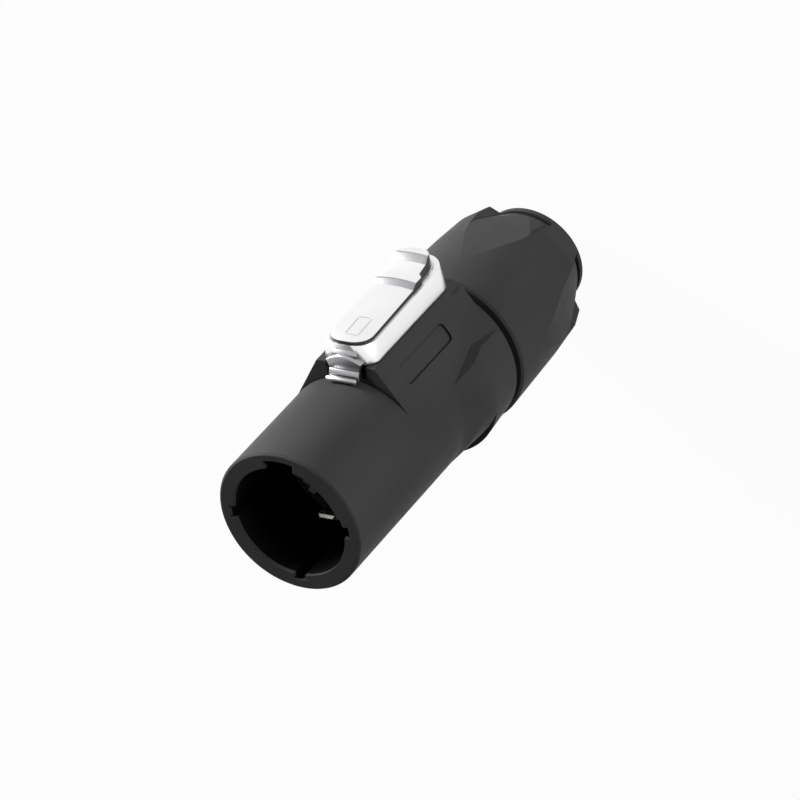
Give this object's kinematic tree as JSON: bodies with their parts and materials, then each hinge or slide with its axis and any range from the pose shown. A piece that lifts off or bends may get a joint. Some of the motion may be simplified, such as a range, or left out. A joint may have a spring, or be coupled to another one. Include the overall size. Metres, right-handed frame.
{
  "type": "cable power connector",
  "caption": "In-line mains cable connector with a keyed open barrel, a sprung thumb latch on a raised platform and a fluted gland nut that clamps the cable.",
  "frame": {"origin": "centre of the tail rim, on the connector's axis", "axes": "+Z along the axis from the cable end to the nose, -Y towards the latch, +X to the right when the latch is seen with the nose up"},
  "size_m": [0.025, 0.0318, 0.072],
  "materials": {
    "shell_plastic": "satin moulded black",
    "insert_plastic": "matt moulded black",
    "chuck_plastic": "satin moulded dark grey",
    "latch_metal": "plated zinc casting, satin bright",
    "contact_metal": "silver plated brass",
    "screw_steel": "zinc plated",
    "pin_steel": "ground steel",
    "spring_steel": "drawn stainless wire",
    "seal_rubber": "matt black rubber"
  },
  "bodies": {
    "housing": {"housing": "shell_plastic", "latch_stop_pin": "pin_steel", "latch_spring": "spring_steel", "contact_insert": "insert_plastic", "insert_cover": "insert_plastic", "socket_gasket": "seal_rubber", "gland_gasket": "seal_rubber", "contact_line": "contact_metal", "contact_neutral": "contact_metal", "contact_earth": "contact_metal", "terminal_screw_line": "screw_steel", "terminal_screw_neutral": "screw_steel", "terminal_screw_earth": "screw_steel", "clamp_plate_line": "screw_steel", "clamp_plate_neutral": "screw_steel", "clamp_plate_earth": "screw_steel"},
    "latch": {"latch_slider": "latch_metal"},
    "chuck": {"clamp_chuck": "chuck_plastic", "cable_seal": "seal_rubber"},
    "nut": {"gland_nut": "shell_plastic"}
  },
  "joints": [
    {"name": "latch_slide", "type": "slide", "parent": "housing", "child": "latch", "axis": [0, 0, -1], "range_m": [0, 0.003], "stiffness_N_per_m": 800, "springref_m": -0.0045, "deforming": ["latch_spring"]},
    {"name": "chuck_slide", "type": "slide", "parent": "housing", "child": "chuck", "axis": [0, 0, -1], "range_m": [0, 0.005]},
    {"name": "nut_turn", "type": "hinge", "parent": "chuck", "child": "nut", "pos_m": [0, 0, 0.0146], "axis": [0, 0, -1], "range_deg": [0, 900]}
  ],
  "couplings": [
    {"joint": "nut_turn", "follows": "chuck_slide", "rad_per_m": 3141.6}
  ]
}
